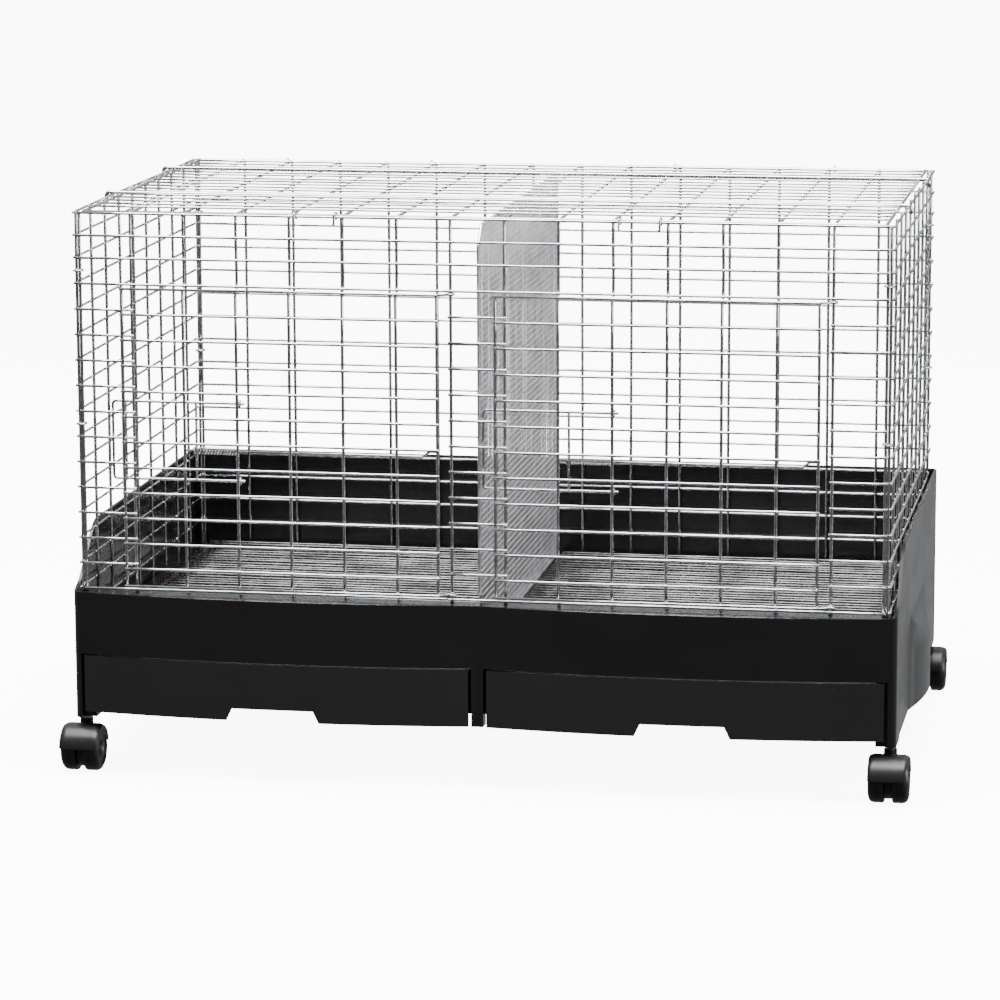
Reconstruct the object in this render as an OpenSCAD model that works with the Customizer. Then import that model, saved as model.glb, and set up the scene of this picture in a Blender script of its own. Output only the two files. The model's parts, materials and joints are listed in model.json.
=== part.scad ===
// Two-room wire rabbit cage on a moulded base with two slide-out trays and four twin-wheel casters.
// Origin: on the floor, under the middle of the wire box. +X right, +Y back, +Z up. Millimetres.

/* [Wire box] */
// Width between the two outer posts of the front panel
box_w = 791; // [780:1:800]
// Depth between the front and the back posts
box_d = 478; // [470:1:486]
// Height of the top rails above the floor
box_top = 558.4; // [550:0.1:570]
// Height of the lowest rail of the front panel
rail_z0 = 186; // [185:0.5:188]
// Spacing of the horizontal rails
rail_pitch = 25.25; // [24.8:0.05:25.5]
// Diameter of the upright posts
post_d = 3.2; // [3:0.1:3.3]
// Diameter of the horizontal rails
rail_d = 2.6; // [2.4:0.1:2.7]

/* [Doors] */
// How much lower the door rails lie than the rails of the fixed panel
door_drop = 3.5; // [3.2:0.1:4]
// Diameter of the top and bottom wires of a door
door_edge_d = 3.2; // [3:0.1:3.4]
// Height of the rod that carries the latch and its spring
rod_z = 327; // [324:0.5:329]

/* [Roof] */
// Spacing of the thin left-right wires of the roof
roof_pitch = 26; // [22:0.5:30]
// Diameter of the two stiffening wires of the roof
stiffener_d = 4; // [3.6:0.1:4.2]

/* [Base] */
// Thickness of the moulded walls
wall = 3; // [2.5:0.1:3.2]
// Height of the front rim above the floor
rim_z = 182.5; // [180:0.5:183]
// Height of the side and rear walls above the floor
wall_top = 240; // [225:1:255]
// Height of the gap between the fascia and the trays
split_z = 120.5; // [119:0.5:123]
// How far each half of the front bows out
bow = 15.5; // [8:0.5:18]
// How far each side swells out at mid-depth
swell_out = 13; // [8:0.5:13]

/* [Trays] */
// Height of the lower edge of a tray front
tray_z0 = 62; // [60:0.5:64]
// Width of a tray front
tray_front_w = 387; // [380:1:388]

/* [Casters] */
// Diameter of a caster wheel
wheel_d = 44; // [40:1:44]
// Width of one of the two wheels of a caster
wheel_w = 15.5; // [12:0.5:16]
// Distance from the swivel axis to the wheel axis
trail = 12.8; // [10:0.1:13]
// Diameter of a caster stem
stem_d = 7.4; // [7:0.1:7.4]

/* [Hidden] */
wire_fn = 16;
flat_fn = 8;
round_fn = 48;
thin = 0.01;

// Wire box: posts are numbered from the left and rails from the bottom
weld = 0.35;
link_step = 0.4;
front_bays = 15;
side_bays = 9;
pitch = box_w / front_bays;
side_pitch = box_d / side_bays;
post_front_y = -box_d / 2;
post_back_y = box_d / 2;
post_to_rail = (post_d + rail_d) / 2 - weld;
rail_front_y = post_front_y - post_to_rail;
rail_back_y = post_back_y + post_to_rail;
corner_inset = (post_d + 0.1) / 2;
side_x = box_w / 2 + corner_inset;
side_rail_x = side_x + post_to_rail;
rail_end_x = box_w / 2;
side_rail_end = box_d / 2 + 1.2;
last_rail = 15;
even_rails = 13;
top_pitch = (box_top - rail_z0 - even_rails * rail_pitch) / (last_rail - even_rails);
post_top = box_top + rail_d / 2 - 0.1;
post_tail = 6;
rail_overhang = 2.5;
tail_rise = 1.5;
header_rail = 12;
ledge_z = 134;
low_post_z = ledge_z + 1;

// Doors: everything is measured from the post that carries the hinge loops
hinge_posts = [7, 14];
door_posts = 5;
door_post_y = post_front_y - 6.6;
door_rail_y = door_post_y - post_to_rail;
door_hinge_edge = 12.6;
door_latch_edge = 324.6;
door_top_z = rail_z0 + header_rail * rail_pitch - door_drop;
door_bottom_z = rail_z0 + 4.5;
loop_clear = 0.4;
loop_d = 2.6;
loop_r = post_d / 2 + loop_clear + loop_d / 2;
guide_d = 2.6;
guide_y = door_post_y + (post_d + guide_d) / 2 - weld;
guide_left = 265;
guide_jog = 27;
guide_rise = 5;
guide_end = 10.6;

// Latch: a wire frame that slides on the guide rod, behind the posts of the front panel
latch_d = 2.8;
latch_y = post_front_y + 4.3;
latch_top_z = rod_z + 46;
latch_low_z = rod_z - 31;
tongue_x = 338.6;
tongue_w = 13;
latch_cross_x = 254.6;
latch_end_x = 206;
eye_d = 2.4;
eye_r = guide_d / 2 + loop_clear + eye_d / 2;
guide_ring_d = 2.2;
guide_ring_r = latch_d / 2 + loop_clear + guide_ring_d / 2;
spring_clear = 0.3;
spring_r = 4.2;
spring_bore_r = 2.9;
spring_left = latch_cross_x - eye_d / 2 - spring_clear;
spring_right = 4 * pitch + post_d / 2 + spring_clear;

// Roof: lies between the side panels, with its hinge loops on the top rail of the back panel
roof_z = box_top + 0.5;
roof_frame_d = 3.2;
roof_half_w = box_w / 2 - 4.2;
roof_half_d = box_d / 2 - 4.7;
roof_bar_d = 3;
roof_wire_d = 2.2;
roof_wire_z = roof_z + (roof_bar_d + roof_wire_d) / 2 - weld;
roof_wire_bays = floor(2 * roof_half_d / roof_pitch);
roof_wire_pitch = 2 * roof_half_d / roof_wire_bays;
stiffener_y = [-102, 126];
stiffener_z = roof_z + 3.2;
hook_x = side_rail_x + rail_d / 2 + stiffener_d / 2 + 0.5;
hook_low_z = box_top - 4.5;
hinge_loop_x = [-296, -138, 125, 295];
roof_loop_d = 2.4;
roof_loop_r = rail_d / 2 + loop_clear + roof_loop_d / 2;
clip_x = [[-178, -139], [138, 177]];
clip_d = 2.2;
clip_r = roof_frame_d / 2 + loop_clear + clip_d / 2;
clip_y = rail_front_y - 4.1;
clip_low_z = box_top - 7.5;

// Divider and floor grids
divider_front = post_front_y + 5;
divider_back = post_back_y - 6;
divider_low = ledge_z + 4;
divider_top = box_top - 8;
divider_cut = 18;
divider_step_z = rim_z + 6;
divider_step = 11;
mesh_d = 1.8;
mesh_pitch = 12.6;
floor_z = ledge_z + 6;
floor_wire_d = 2.2;
carrier_d = 3;
floor_pitch = 12.2;
carrier_pitch = 47;
floor_in = 6;
floor_out = box_w / 2 - 9;
floor_front = post_front_y + 15;
floor_back = post_back_y - 7;
mesh_frame_d = 3.2;
hook_r = 4.7;
hook_d = 2.2;

// Base
tub_half_w = box_w / 2 + 12;
tub_back = post_back_y + 9;
corner_y = -post_front_y + 7;
valley = 5;
front_steps = 28;
fascia_in = -post_front_y - 8;
side_in = tub_half_w - wall;
back_in = tub_back - wall;
slot_w = 4.6;
ledge_in = side_in - 20;
ledge_deep = 16;
ledge_t = 3;
foot_z = 54.5;
arch_z = 58;
swell_half = 100;
swell_low = 112;
swell_top = 150;
shoulder_y = -150;
column_in = tub_half_w - 8;
corner_r = 9;
corner_steps = 6;
boss_in = tub_half_w - 20.5;
boss_front = post_front_y + 1;
boss_deep = 24;
runner_z = tray_z0 + 10;
runner_t = 2.5;
runner_in = 372;
centre_runner = 20;
partition_half = 1.5;
centre_post = 6;

// Trays
tray_out = tub_half_w - 22.5;
tray_in = 9;
tray_floor_z = runner_z + runner_t + 0.4;
tray_back = post_back_y - 4;
tray_rim = split_z - 4;
tray_wall = 2.5;
tray_front_t = 4;
tray_front_top = split_z - 1.5;
tray_front_out = tray_in + tray_front_w;
notch_top = 82;
notch_low = 93;
notch_h = 12;

// Casters
caster_x = tub_half_w - 6.5;
hood_t = 2.7;
hood_gap = 0.7;
hood_r = wheel_d / 2 + hood_gap + hood_t;
caster_y = corner_y + valley / 2 + bow - trail - hood_r;
caster_front_y = -caster_y;
axle_d = 5;
axle_clear = 0.06;
web_t = 7;
wheel_gap = 0.5;
wheel_in = web_t / 2 + wheel_gap;
wheel_out = wheel_in + wheel_w;
stem_clear = 0.05;
socket_d = 11.4;
lip_d = 10.6;
socket_z0 = 50.8;
socket_z1 = 76;
hood_top = wheel_d / 2 + hood_r;
stem_z = wheel_d / 2 + 8;
neck_z = stem_z + 4;
neck_top = socket_z0 - 0.5;
hold_clear = 0.02;
neck_d = 13;
tread_r = 6;
inner_edge = 1.5;
round_steps = 6;

function post_x(i) = i == 0 ? -box_w / 2 + corner_inset
    : i == front_bays ? box_w / 2 - corner_inset
    : -box_w / 2 + i * pitch;
function post_y(j) = post_front_y + j * side_pitch;
function rail_z(k) = k <= even_rails ? rail_z0 + k * rail_pitch : box_top - (last_rail - k) * top_pitch;
function in_door(i) = (i > 1 && i < 7) || (i > 8 && i < 14);
function front_edge(x) =
    let (u = abs(x) / tub_half_w)
    -(corner_y + valley * (1 - u) + 4 * bow * u * (1 - u));
function front_curve(x0, x1, inset) = [
    for (n = [0:front_steps])
        let (x = x0 + (x1 - x0) * n / front_steps)
        [x, front_edge(x) + inset]
];
function swell_curve(half, out, base) = concat(
    [[base - thin, -half]],
    [for (n = [0:16]) let (y = -half + n * half / 8) [base + out * cos(90 * y / half), y]],
    [[base - thin, half]]
);
function reversed(points) = [for (n = [len(points) - 1:-1:0]) points[n]];

// Round wire along each axis
module bar_x(x0, x1, y, z, d) {
    translate([x0, y, z]) rotate([0, 90, 0]) cylinder(d = d, h = x1 - x0, $fn = wire_fn);
}

module bar_y(y0, y1, x, z, d) {
    translate([x, y1, z]) rotate([90, 0, 0]) cylinder(d = d, h = y1 - y0, $fn = wire_fn);
}

module bar_z(z0, z1, x, y, d) {
    translate([x, y, z0]) cylinder(d = d, h = z1 - z0, $fn = wire_fn);
}

// Eight-sided wire along each axis, for the panels that nothing turns on
module flat_bar(h, d) {
    rotate([0, 0, 180 / flat_fn]) cylinder(d = d / cos(180 / flat_fn), h = h, $fn = flat_fn);
}

module flat_x(x0, x1, y, z, d) {
    translate([x0, y, z]) rotate([0, 90, 0]) flat_bar(x1 - x0, d);
}

module flat_y(y0, y1, x, z, d) {
    translate([x, y1, z]) rotate([90, 0, 0]) flat_bar(y1 - y0, d);
}

module flat_z(z0, z1, x, y, d) {
    translate([x, y, z0]) flat_bar(z1 - z0, d);
}

// A straight wire between two points
module bar(a, b, d) {
    v = b - a;
    flat = norm([v.x, v.y]);
    translate(a)
        rotate([0, atan2(flat, v.z), atan2(v.y, v.x)])
            cylinder(d = d, h = norm(v), $fn = wire_fn);
}

// A closed loop of wire about the local Z axis
module loop(r, d) {
    rotate_extrude($fn = round_fn) translate([r, 0]) circle(d = d, $fn = wire_fn);
}

module loop_x(x, y, z, r, d) {
    translate([x, y, z]) rotate([0, 90, 0]) loop(r, d);
}

module front_panel() color("gainsboro") {
    for (i = [0:front_bays]) {
        low = in_door(i) ? rail_z(header_rail) - rail_overhang : rail_z0 - post_tail;
        bar_z(low, post_top, post_x(i), post_front_y, post_d);
        // Short tails that hold the bottom rail in the rim below the doors
        if (in_door(i))
            bar_z(rail_z0 - post_tail, rail_z0 + tail_rise, post_x(i), post_front_y, post_d);
    }
    bar_x(-rail_end_x, rail_end_x, rail_front_y, rail_z0, rail_d);
    for (k = [header_rail:last_rail])
        bar_x(-rail_end_x, rail_end_x, rail_front_y, rail_z(k), rail_d);
    for (k = [1:header_rail - 1]) {
        bar_x(-rail_end_x, post_x(1) + rail_overhang, rail_front_y, rail_z(k), rail_d);
        bar_x(post_x(7) - rail_overhang, post_x(8) + rail_overhang, rail_front_y, rail_z(k), rail_d);
        bar_x(post_x(14) - rail_overhang, rail_end_x, rail_front_y, rail_z(k), rail_d);
    }
}

module back_panel() color("gainsboro") {
    for (i = [0:front_bays])
        flat_z(low_post_z, post_top, post_x(i), post_back_y, post_d);
    for (k = [-1:last_rail - 1])
        flat_x(-rail_end_x, rail_end_x, rail_back_y, rail_z(k), rail_d);
    bar_x(-rail_end_x, rail_end_x, rail_back_y, box_top, rail_d);
}

module side_panel(side) color("gainsboro") {
    for (j = [0:side_bays])
        flat_z(j == 0 ? rail_z0 - post_tail : low_post_z, post_top, side * side_x, post_y(j), post_d);
    for (k = [0:last_rail])
        flat_y(-side_rail_end, side_rail_end, side * side_rail_x, rail_z(k), rail_d);
    flat_y(post_y(1) - rail_overhang, side_rail_end, side * side_rail_x, rail_z(-1), rail_d);
}

// Wire rings that tie each side panel to the front and back posts
module corner_hooks() color("silver") {
    for (sx = [-1, 1], y = [post_front_y, post_back_y], k = [6.5, 12.5])
        translate([sx * (box_w / 2), y, rail_z(floor(k)) + rail_pitch / 2])
            loop(hook_r, hook_d);
}

// Fine mesh that splits the cage into two rooms; the lower front corner steps back behind the fascia
module divider_panel() color("gainsboro") {
    frame = [
        [0, divider_front + divider_step, divider_low], [0, divider_front + divider_step, divider_step_z],
        [0, divider_front, divider_step_z], [0, divider_front, divider_top - divider_cut],
        [0, divider_front + divider_cut, divider_top], [0, divider_back, divider_top],
        [0, divider_back, divider_low]
    ];
    for (n = [0:len(frame) - 1]) {
        bar(frame[n], frame[(n + 1) % len(frame)], mesh_frame_d);
        translate(frame[n]) sphere(d = mesh_frame_d, $fn = 24);
    }
    columns = floor((divider_back - divider_front - divider_cut) / mesh_pitch);
    for (n = [1:columns])
        mesh_z(divider_low, divider_top, 0, divider_back - n * mesh_pitch);
    for (k = [-1:last_rail - 1])
        mesh_y(
            rail_z(k) < divider_step_z ? divider_front + divider_step : divider_front,
            divider_back, mesh_d - weld, rail_z(k) - 6
        );
}

module mesh_z(z0, z1, x, y) {
    translate([x - mesh_d / 2, y - mesh_d / 2, z0]) cube([mesh_d, mesh_d, z1 - z0]);
}

module mesh_y(y0, y1, x, z) {
    translate([x - mesh_d / 2, y0, z - mesh_d / 2]) cube([mesh_d, y1 - y0, mesh_d]);
}

// Wire floor of one room: thin left-right wires on top of thicker front-back carriers
module floor_grid(side) color("silver") {
    x0 = side > 0 ? floor_in : -floor_out;
    x1 = side > 0 ? floor_out : -floor_in;
    rows = floor((floor_back - floor_front) / floor_pitch);
    carriers = floor((floor_out - floor_in) / carrier_pitch);
    first_x = (x0 + x1) / 2 - carriers * carrier_pitch / 2;
    wire_low = floor_z - floor_wire_d / 2;
    carrier_low = wire_low - carrier_d + weld;
    for (n = [0:rows])
        translate([x0, floor_front + n * floor_pitch - floor_wire_d / 2, wire_low])
            cube([x1 - x0, floor_wire_d, floor_wire_d]);
    for (n = [0:carriers])
        translate([first_x + n * carrier_pitch - carrier_d / 2, floor_front - carrier_d, carrier_low])
            cube([carrier_d, floor_back - floor_front + 2 * carrier_d, carrier_d]);
}

// One steel sleeve in each corner of the base
module caster_sockets() color("silver") {
    for (sx = [-1, 1], y = [caster_front_y, caster_y])
        translate([sx * caster_x, y, socket_z0])
            difference() {
                union() {
                    translate([0, 0, foot_z - socket_z0])
                        cylinder(d = socket_d, h = socket_z1 - foot_z, $fn = round_fn);
                    cylinder(d = lip_d, h = foot_z - socket_z0 + 1, $fn = round_fn);
                }
                translate([0, 0, -1])
                    cylinder(d = stem_d + 2 * stem_clear, h = socket_z1, $fn = round_fn);
            }
}

// Side wall seen from the side, with the rounded shoulder that falls to the front rim
module side_profile(low) {
    rim = [
        for (n = [0:14])
            let (y = shoulder_y - n * (corner_y + shoulder_y) / 14)
            [y, rim_z + (wall_top - rim_z) * (1 + cos(180 * n / 14)) / 2]
    ];
    polygon(concat([[tub_back, low], [tub_back, wall_top]], rim, [[-corner_y, low]]));
}

// Solid swelling of a side: upright up to swell_low, then sloping back into the wall
module swelling(half, out, top, base) {
    translate([0, 0, arch_z]) linear_extrude(swell_low - arch_z) polygon(swell_curve(half, out, base));
    hull() {
        translate([0, 0, swell_low - thin]) linear_extrude(thin) polygon(swell_curve(half, out, base));
        translate([0, 0, top]) linear_extrude(thin) polygon(swell_curve(half * 0.8, thin, base));
    }
}

module side_wall(side) {
    mirror([side > 0 ? 0 : 1, 0, 0]) {
        difference() {
            union() {
                translate([side_in, 0, 0]) rotate([90, 0, 90])
                    linear_extrude(wall) side_profile(arch_z);
                swelling(swell_half, swell_out, swell_top, tub_half_w);
            }
            // The swelling is hollow and open at the bottom
            translate([0, 0, -wall])
                swelling(swell_half - wall, swell_out, swell_top - wall, tub_half_w - wall);
            translate([side_in - 1, -swell_half + 2 * wall, arch_z - 1])
                cube([wall, 2 * (swell_half - 2 * wall), swell_low - arch_z]);
        }
        for (y = [[-corner_y, -corner_y + 44], [tub_back - 44, tub_back]])
            translate([side_in, y[0], foot_z]) cube([wall, y[1] - y[0], arch_z - foot_z + 1]);
        // Floor ledge and tray runner
        translate([ledge_in, -fascia_in, ledge_z - ledge_t])
            cube([side_in - ledge_in + 1, fascia_in + back_in + 1, ledge_t]);
        translate([runner_in, boss_front, runner_z])
            cube([side_in - runner_in + 1, back_in - boss_front + 1, runner_t]);
        for (y = [boss_front, back_in - boss_deep + 1])
            translate([boss_in, y, foot_z])
                cube([side_in - boss_in + 1, boss_deep, ledge_z - ledge_t - foot_z + 1]);
        translate([column_in, -corner_y, foot_z])
            cube([tub_half_w - column_in, corner_y + boss_front + 1, rim_z - wall + 0.5 - foot_z]);
    }
}

module fascia() {
    outer = front_curve(-tub_half_w, tub_half_w, 0);
    translate([0, 0, split_z]) linear_extrude(rim_z - split_z)
        polygon(concat(outer, reversed(front_curve(-tub_half_w, tub_half_w, wall))));
    translate([0, 0, rim_z - wall]) linear_extrude(wall)
        polygon(concat(outer, [[tub_half_w, -fascia_in], [-tub_half_w, -fascia_in]]));
    translate([-side_in - 1, -fascia_in - wall, ledge_z - ledge_t])
        cube([2 * side_in + 2, wall, rim_z - ledge_z + ledge_t]);
    translate([-side_in - 1, -corner_y + 1, ledge_z - ledge_t])
        cube([2 * side_in + 2, corner_y - fascia_in + ledge_deep, ledge_t]);
}

// What a rounded upright corner of the base takes away
module corner_cut(y) {
    mirror([0, y < 0 ? 0 : 1, 0])
        translate([tub_half_w - corner_r, -abs(y) + corner_r, foot_z - 1])
            linear_extrude(wall_top - foot_z + 2)
                polygon(concat(
                    [
                        for (n = [0:corner_steps])
                            let (a = -90 + 90 * n / corner_steps)
                            corner_r * [cos(a), sin(a)]
                    ],
                    [[corner_r + 1, 0], [corner_r + 1, -corner_r - 1], [0, -corner_r - 1]]
                ));
}

module tub_shell() color([0.07, 0.07, 0.08]) {
    difference() {
        union() {
            side_wall(-1);
            side_wall(1);
            fascia();
            translate([-tub_half_w, back_in, arch_z]) cube([2 * tub_half_w, wall, wall_top - arch_z]);
            for (x = [-tub_half_w, tub_half_w - 44])
                translate([x, back_in, foot_z]) cube([44, wall, arch_z - foot_z + 1]);
            translate([-side_in, back_in - ledge_deep, ledge_z - ledge_t])
                cube([2 * side_in, ledge_deep + 1, ledge_t]);
            // Keel between the two trays, with its runners and the ledge that carries both floors
            translate([-partition_half, boss_front, runner_z])
                cube([2 * partition_half, back_in - boss_front + 1, ledge_z - runner_z]);
            translate([-centre_runner, boss_front, runner_z])
                cube([2 * centre_runner, back_in - boss_front + 1, runner_t]);
            translate([-centre_runner, -fascia_in, ledge_z - ledge_t])
                cube([2 * centre_runner, fascia_in + back_in, ledge_t]);
            translate([0, 0, tray_z0]) linear_extrude(ledge_z - tray_z0)
                polygon(concat(
                    front_curve(-centre_post, centre_post, 0),
                    [[centre_post, boss_front + 1], [-centre_post, boss_front + 1]]
                ));
        }
        for (i = [0:front_bays])
            translate([post_x(i) - slot_w / 2, post_front_y - slot_w / 2, rim_z - wall - 1])
                cube([slot_w, slot_w, wall + 2]);
        for (sx = [-1, 1])
            translate([sx * side_x - slot_w / 2, post_front_y - slot_w / 2, rim_z - wall - 1])
                cube([slot_w, slot_w, wall + 2]);
        for (sx = [-1, 1], y = [caster_front_y, caster_y])
            translate([sx * caster_x, y, foot_z - 1])
                cylinder(d = socket_d + 0.1, h = socket_z1 - foot_z + 2, $fn = round_fn);
        for (sx = [0, 1], y = [-corner_y, tub_back])
            mirror([sx, 0, 0]) corner_cut(y);
    }
}

// A door and the rod it carries, hung on the post numbered i
module door(i) color("gainsboro") {
    hx = post_x(i);
    x0 = hx - door_latch_edge;
    x1 = hx - door_hinge_edge;
    for (x = concat([x0, x1], [for (n = [1:door_posts]) hx - n * pitch]))
        bar_z(door_bottom_z, door_top_z, x, door_post_y, post_d);
    for (k = [1:header_rail - 1])
        bar_x(x0 - 2, x1 + 2, door_rail_y, rail_z(k) - door_drop, rail_d);
    for (z = [door_bottom_z, door_top_z]) {
        bar_x(x0 - 2, x1 + 1.2, door_rail_y, z, door_edge_d);
        bar([x1, door_rail_y, z], [hx - 2.2, post_front_y - 2.3, z], loop_d - link_step);
        translate([hx, post_front_y, z]) loop(loop_r, loop_d);
    }
    jog = hx - guide_jog;
    bar_x(hx - guide_left, jog, guide_y, rod_z, guide_d);
    bar([jog - 1, guide_y, rod_z], [jog + 6, guide_y, rod_z + guide_rise], guide_d - link_step);
    bar_x(jog + 5, hx - guide_end, guide_y, rod_z + guide_rise, guide_d);
    for (z = [latch_low_z, latch_top_z]) {
        loop_x(hx - 4 * pitch, latch_y, z, guide_ring_r, guide_ring_d);
        bar_y(door_post_y + 1, latch_y - guide_ring_r + 0.3, hx - 4 * pitch, z, guide_ring_d - link_step);
    }
}

// Sliding wire frame with an eye on the rod; its left end hides behind the fixed post
module latch(i) color("silver") {
    hx = post_x(i);
    left = hx - tongue_x;
    for (z = [latch_low_z, latch_top_z]) {
        bar_x(left, hx - latch_end_x, latch_y, z, latch_d);
        translate([left, latch_y, z]) sphere(d = latch_d, $fn = 24);
    }
    for (x = [left, left + tongue_w, hx - latch_cross_x])
        bar_z(latch_low_z, latch_top_z, x, latch_y, latch_d);
    loop_x(hx - latch_cross_x, guide_y, rod_z, eye_r, eye_d);
    bar_y(guide_y + eye_r - 0.2, latch_y, hx - latch_cross_x, rod_z, eye_d - link_step);
}

module latch_spring(i) color("silver") {
    hx = post_x(i);
    translate([hx - spring_left, guide_y, rod_z]) rotate([0, 90, 0])
        difference() {
            cylinder(r = spring_r, h = spring_left - spring_right, $fn = round_fn);
            translate([0, 0, -1])
                cylinder(r = spring_bore_r, h = spring_left - spring_right + 2, $fn = round_fn);
        }
}

module roof_panel() color("gainsboro") {
    for (y = [-roof_half_d, roof_half_d])
        bar_x(-roof_half_w, roof_half_w, y, roof_z, roof_frame_d);
    for (x = [-roof_half_w, roof_half_w])
        bar_y(-roof_half_d, roof_half_d, x, roof_z, roof_frame_d);
    for (x = [-roof_half_w, roof_half_w], y = [-roof_half_d, roof_half_d])
        translate([x, y, roof_z]) sphere(d = roof_frame_d, $fn = 24);
    for (i = [1:front_bays - 1])
        flat_y(-roof_half_d, roof_half_d, post_x(i), roof_z, roof_bar_d);
    for (n = [1:roof_wire_bays - 1])
        flat_x(-roof_half_w, roof_half_w, -roof_half_d + n * roof_wire_pitch, roof_wire_z, roof_wire_d);
    for (y = stiffener_y) {
        bar_x(-hook_x, hook_x, y, stiffener_z, stiffener_d);
        for (x = [-hook_x, hook_x]) {
            translate([x, y, stiffener_z]) sphere(d = stiffener_d, $fn = 24);
            bar_z(hook_low_z, stiffener_z, x, y, stiffener_d);
        }
    }
    for (x = hinge_loop_x) {
        loop_x(x, rail_back_y, box_top, roof_loop_r, roof_loop_d);
        bar_y(roof_half_d, rail_back_y - roof_loop_r + 0.3, x, box_top, roof_loop_d - link_step);
    }
}

// U-shaped wire that hooks over the top rail of the front panel
module roof_clip(ends) color("silver") {
    over_z = roof_z + clip_r + link_step;
    for (x = ends) {
        loop_x(x, -roof_half_d, roof_z, clip_r, clip_d);
        bar_y(clip_y, -roof_half_d + 1, x, over_z, clip_d + link_step);
        bar_z(clip_low_z, over_z, x, clip_y, clip_d);
    }
    bar_x(ends[0] - 1, ends[1] + 1, clip_y, clip_low_z, clip_d + link_step);
}

// Pull-out tray of the right-hand room; its front follows the bow of the fascia
module tray(side) color([0.1, 0.1, 0.11]) {
    mirror([side > 0 ? 0 : 1, 0, 0])
        difference() {
            union() {
                translate([tray_in, -fascia_in, tray_floor_z])
                    cube([tray_out - tray_in, fascia_in + tray_back, tray_rim - tray_floor_z]);
                translate([0, 0, tray_floor_z]) linear_extrude(tray_rim - tray_floor_z)
                    polygon(concat(
                        front_curve(tray_in, tray_out, tray_front_t - 0.5),
                        [[tray_out, -fascia_in + 1], [tray_in, -fascia_in + 1]]
                    ));
                translate([0, 0, tray_z0]) linear_extrude(tray_front_top - tray_z0)
                    polygon(concat(
                        front_curve(tray_in, tray_front_out, 0),
                        reversed(front_curve(tray_in, tray_front_out, tray_front_t))
                    ));
            }
            translate([0, 0, tray_floor_z + tray_wall]) linear_extrude(tray_rim)
                polygon(concat(
                    front_curve(tray_in + tray_wall, tray_out - tray_wall, tray_front_t),
                    [
                        [tray_out - tray_wall, tray_back - tray_wall],
                        [tray_in + tray_wall, tray_back - tray_wall]
                    ]
                ));
            translate([tray_in + tray_front_w / 2, -fascia_in, tray_z0]) rotate([90, 0, 0])
                linear_extrude(2 * bow + 20) polygon([
                    [-notch_low / 2, -1], [notch_low / 2, -1], [notch_low / 2, 0], [notch_top / 2, notch_h],
                    [-notch_top / 2, notch_h], [-notch_low / 2, 0]
                ]);
        }
}

// Casters: each corner places its pieces about the swivel axis.
// The front casters trail forwards and the rear ones backwards.
module at_corner(sx, y) {
    translate([sx * caster_x, y, 0]) children();
}

module at_axle(y) {
    translate([0, sign(y) * trail, wheel_d / 2]) rotate([0, 90, 0]) children();
}

// Half outline of a wheel with its rounded outer edge, grown by an offset and cut off at wheel_out
function wheel_outline(grow, low) = concat(
    [[0, low], [wheel_d / 2 + grow, low]],
    [
        for (n = [0:round_steps])
            let (r = tread_r + grow, a = n / round_steps * asin(tread_r / r))
            [wheel_d / 2 - tread_r + r * cos(a), wheel_out - tread_r + r * sin(a)]
    ],
    [[0, wheel_out]]
);

module caster_hood(sx, y) color([0.08, 0.08, 0.09]) at_corner(sx, y) {
    centre = sign(y) * trail;
    difference() {
        union() {
            intersection() {
                for (s = [0, 1])
                    at_axle(y) mirror([0, 0, s])
                        rotate_extrude($fn = 64) polygon(wheel_outline(hood_gap + hood_t, -1));
                translate([-wheel_out - 1, centre - hood_r - 1, wheel_d / 2 + 4])
                    cube([2 * wheel_out + 2, 2 * hood_r + 2, hood_r]);
            }
            at_axle(y) translate([0, 0, -web_t / 2]) cylinder(r = wheel_d / 2 - 4, h = web_t, $fn = 64);
            translate([0, 0, neck_z]) cylinder(d = neck_d, h = neck_top - neck_z, $fn = 48);
        }
        at_axle(y) translate([0, 0, -wheel_out - 1])
            cylinder(d = axle_d + hold_clear, h = 2 * wheel_out + 2, $fn = 48);
        translate([0, 0, stem_z]) cylinder(d = stem_d + hold_clear, h = hood_top, $fn = 48);
        for (s = [0, 1])
            at_axle(y) mirror([0, 0, s])
                rotate_extrude($fn = 64) polygon(wheel_outline(hood_gap, wheel_in - wheel_gap));
    }
}

module caster_stem(sx, y) color("silver") at_corner(sx, y) {
    translate([0, 0, stem_z]) cylinder(d = stem_d, h = socket_z1 - 2 - stem_z, $fn = 48);
}

module caster_axle(sx, y) color("silver") at_corner(sx, y) {
    at_axle(y) translate([0, 0, -wheel_out]) cylinder(d = axle_d, h = 2 * wheel_out, $fn = 48);
}

// One wheel: its rounded edge faces away from the web of the hood
module caster_wheel(sx, y, s) color([0.06, 0.06, 0.06]) at_corner(sx, y) {
    bore_r = axle_d / 2 + axle_clear;
    rim_r = wheel_d / 2;
    at_axle(y) mirror([0, 0, s > 0 ? 0 : 1]) translate([0, 0, wheel_in])
        rotate_extrude($fn = 72) polygon(concat(
            [[bore_r, 0], [rim_r - inner_edge, 0], [rim_r, inner_edge]],
            [for (a = [0:15:90]) [rim_r - tread_r + tread_r * cos(a), wheel_w - tread_r + tread_r * sin(a)]],
            [[bore_r, wheel_w]]
        ));
}

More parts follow.
